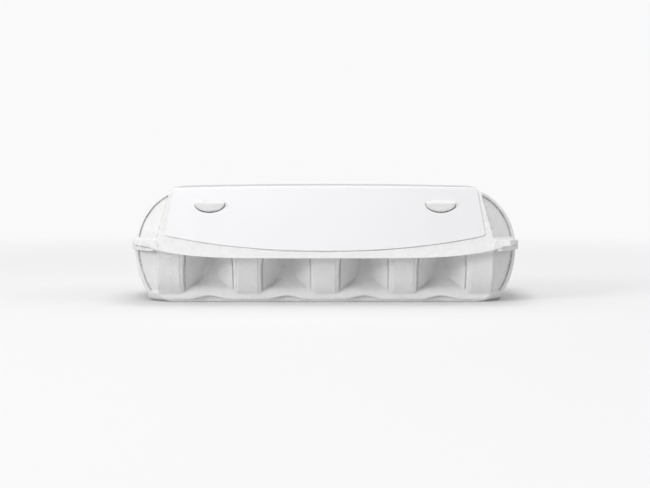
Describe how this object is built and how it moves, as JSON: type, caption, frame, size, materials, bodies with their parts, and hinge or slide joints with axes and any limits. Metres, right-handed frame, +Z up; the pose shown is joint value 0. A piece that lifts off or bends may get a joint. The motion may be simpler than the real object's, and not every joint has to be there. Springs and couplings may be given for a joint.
{
  "type": "egg carton",
  "caption": "Closed moulded pulp egg carton: cupped tray, hinged domed lid with a curved front skirt, lock flap with half-moon knobs, and a paper label wrapped over the lid.",
  "frame": {"origin": "bottom centre of the closed carton, on the surface that the cups stand on", "axes": "+X along the length, -Y towards the lock flap and skirt at the front, +Z up"},
  "size_m": [0.2524, 0.1096, 0.0751],
  "materials": {
    "pulp": "matte",
    "paper": "satin"
  },
  "bodies": {
    "tray": {"tray": "pulp", "rear_crease": "pulp", "flap_crease": "pulp"},
    "lid": {"lid": "pulp", "label": "paper"},
    "lock_flap": {"lock_flap": "pulp"}
  },
  "joints": [
    {"name": "lid_hinge", "type": "hinge", "parent": "tray", "child": "lid", "pos_m": [0, 0.05434, 0.0365], "axis": [-1, 0, 0], "range_deg": [0, 165]},
    {"name": "flap_hinge", "type": "hinge", "parent": "tray", "child": "lock_flap", "pos_m": [0, -0.04775, 0.03715], "axis": [-1, 0, 0], "range_deg": [0, 25], "stiffness_Nm_per_rad": 0.02, "springref_deg": -9.74}
  ]
}
